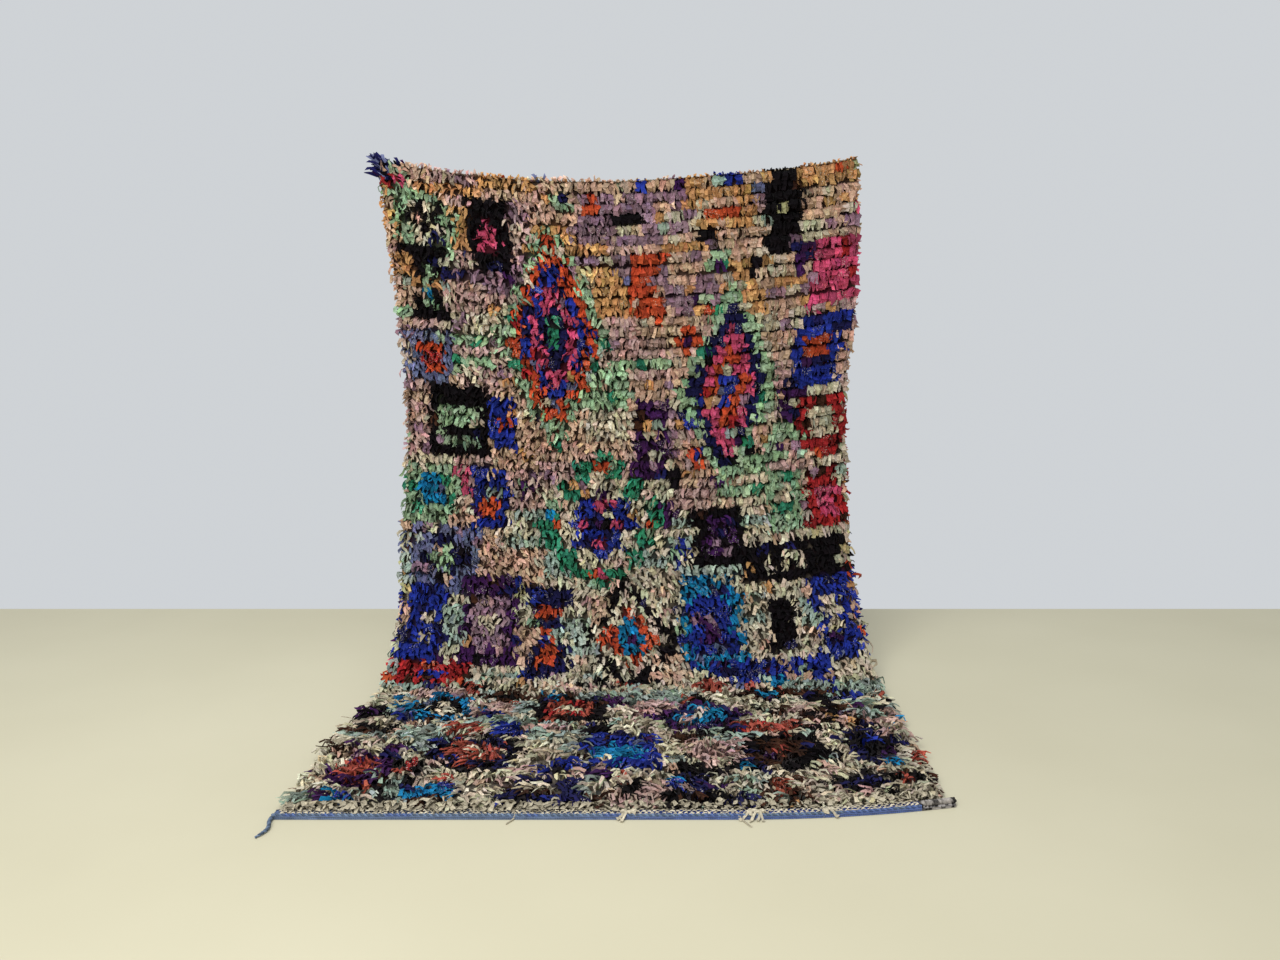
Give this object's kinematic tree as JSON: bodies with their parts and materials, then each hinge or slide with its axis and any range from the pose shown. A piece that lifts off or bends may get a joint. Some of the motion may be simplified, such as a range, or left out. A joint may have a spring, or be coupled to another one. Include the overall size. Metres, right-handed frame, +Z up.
{
  "type": "boucherouite rug",
  "caption": "Thick rag pile rug that hangs by its top edge, flares forward and runs out over the floor to a flat-woven blue end.",
  "frame": {"origin": "middle of the rug's top edge, on the back of the cloth, where the rug is held", "axes": "+Z up, -Y the way the pile faces and the rug runs out over the floor, +X to the right of someone who faces the pile"},
  "size_m": [1.5753, 1.1893, 1.6227],
  "materials": {
    "rag_pile": "many-coloured cotton and wool rag pile, matt and frayed",
    "ground_weave": "flat woven wool and cotton ground",
    "blue_band": "flat woven blue cotton with white picks",
    "mottled_band": "black and white mottled yarn",
    "cream_tie": "cream cotton strips"
  },
  "bodies": {
    "root": {"rug_body": "rag_pile", "left_hanging_locks": "rag_pile", "left_flare_locks": "rag_pile", "left_floor_locks": "rag_pile", "right_hanging_locks": "rag_pile", "right_flare_locks": "rag_pile", "right_floor_locks": "rag_pile", "top_left_locks": "rag_pile", "top_right_locks": "rag_pile", "near_locks": "rag_pile", "end_band": "blue_band", "corner_band": "mottled_band", "corner_tail": "blue_band", "tie_middle": "cream_tie", "tie_right": "cream_tie", "tie_far_right": "cream_tie"}
  },
  "joints": []
}
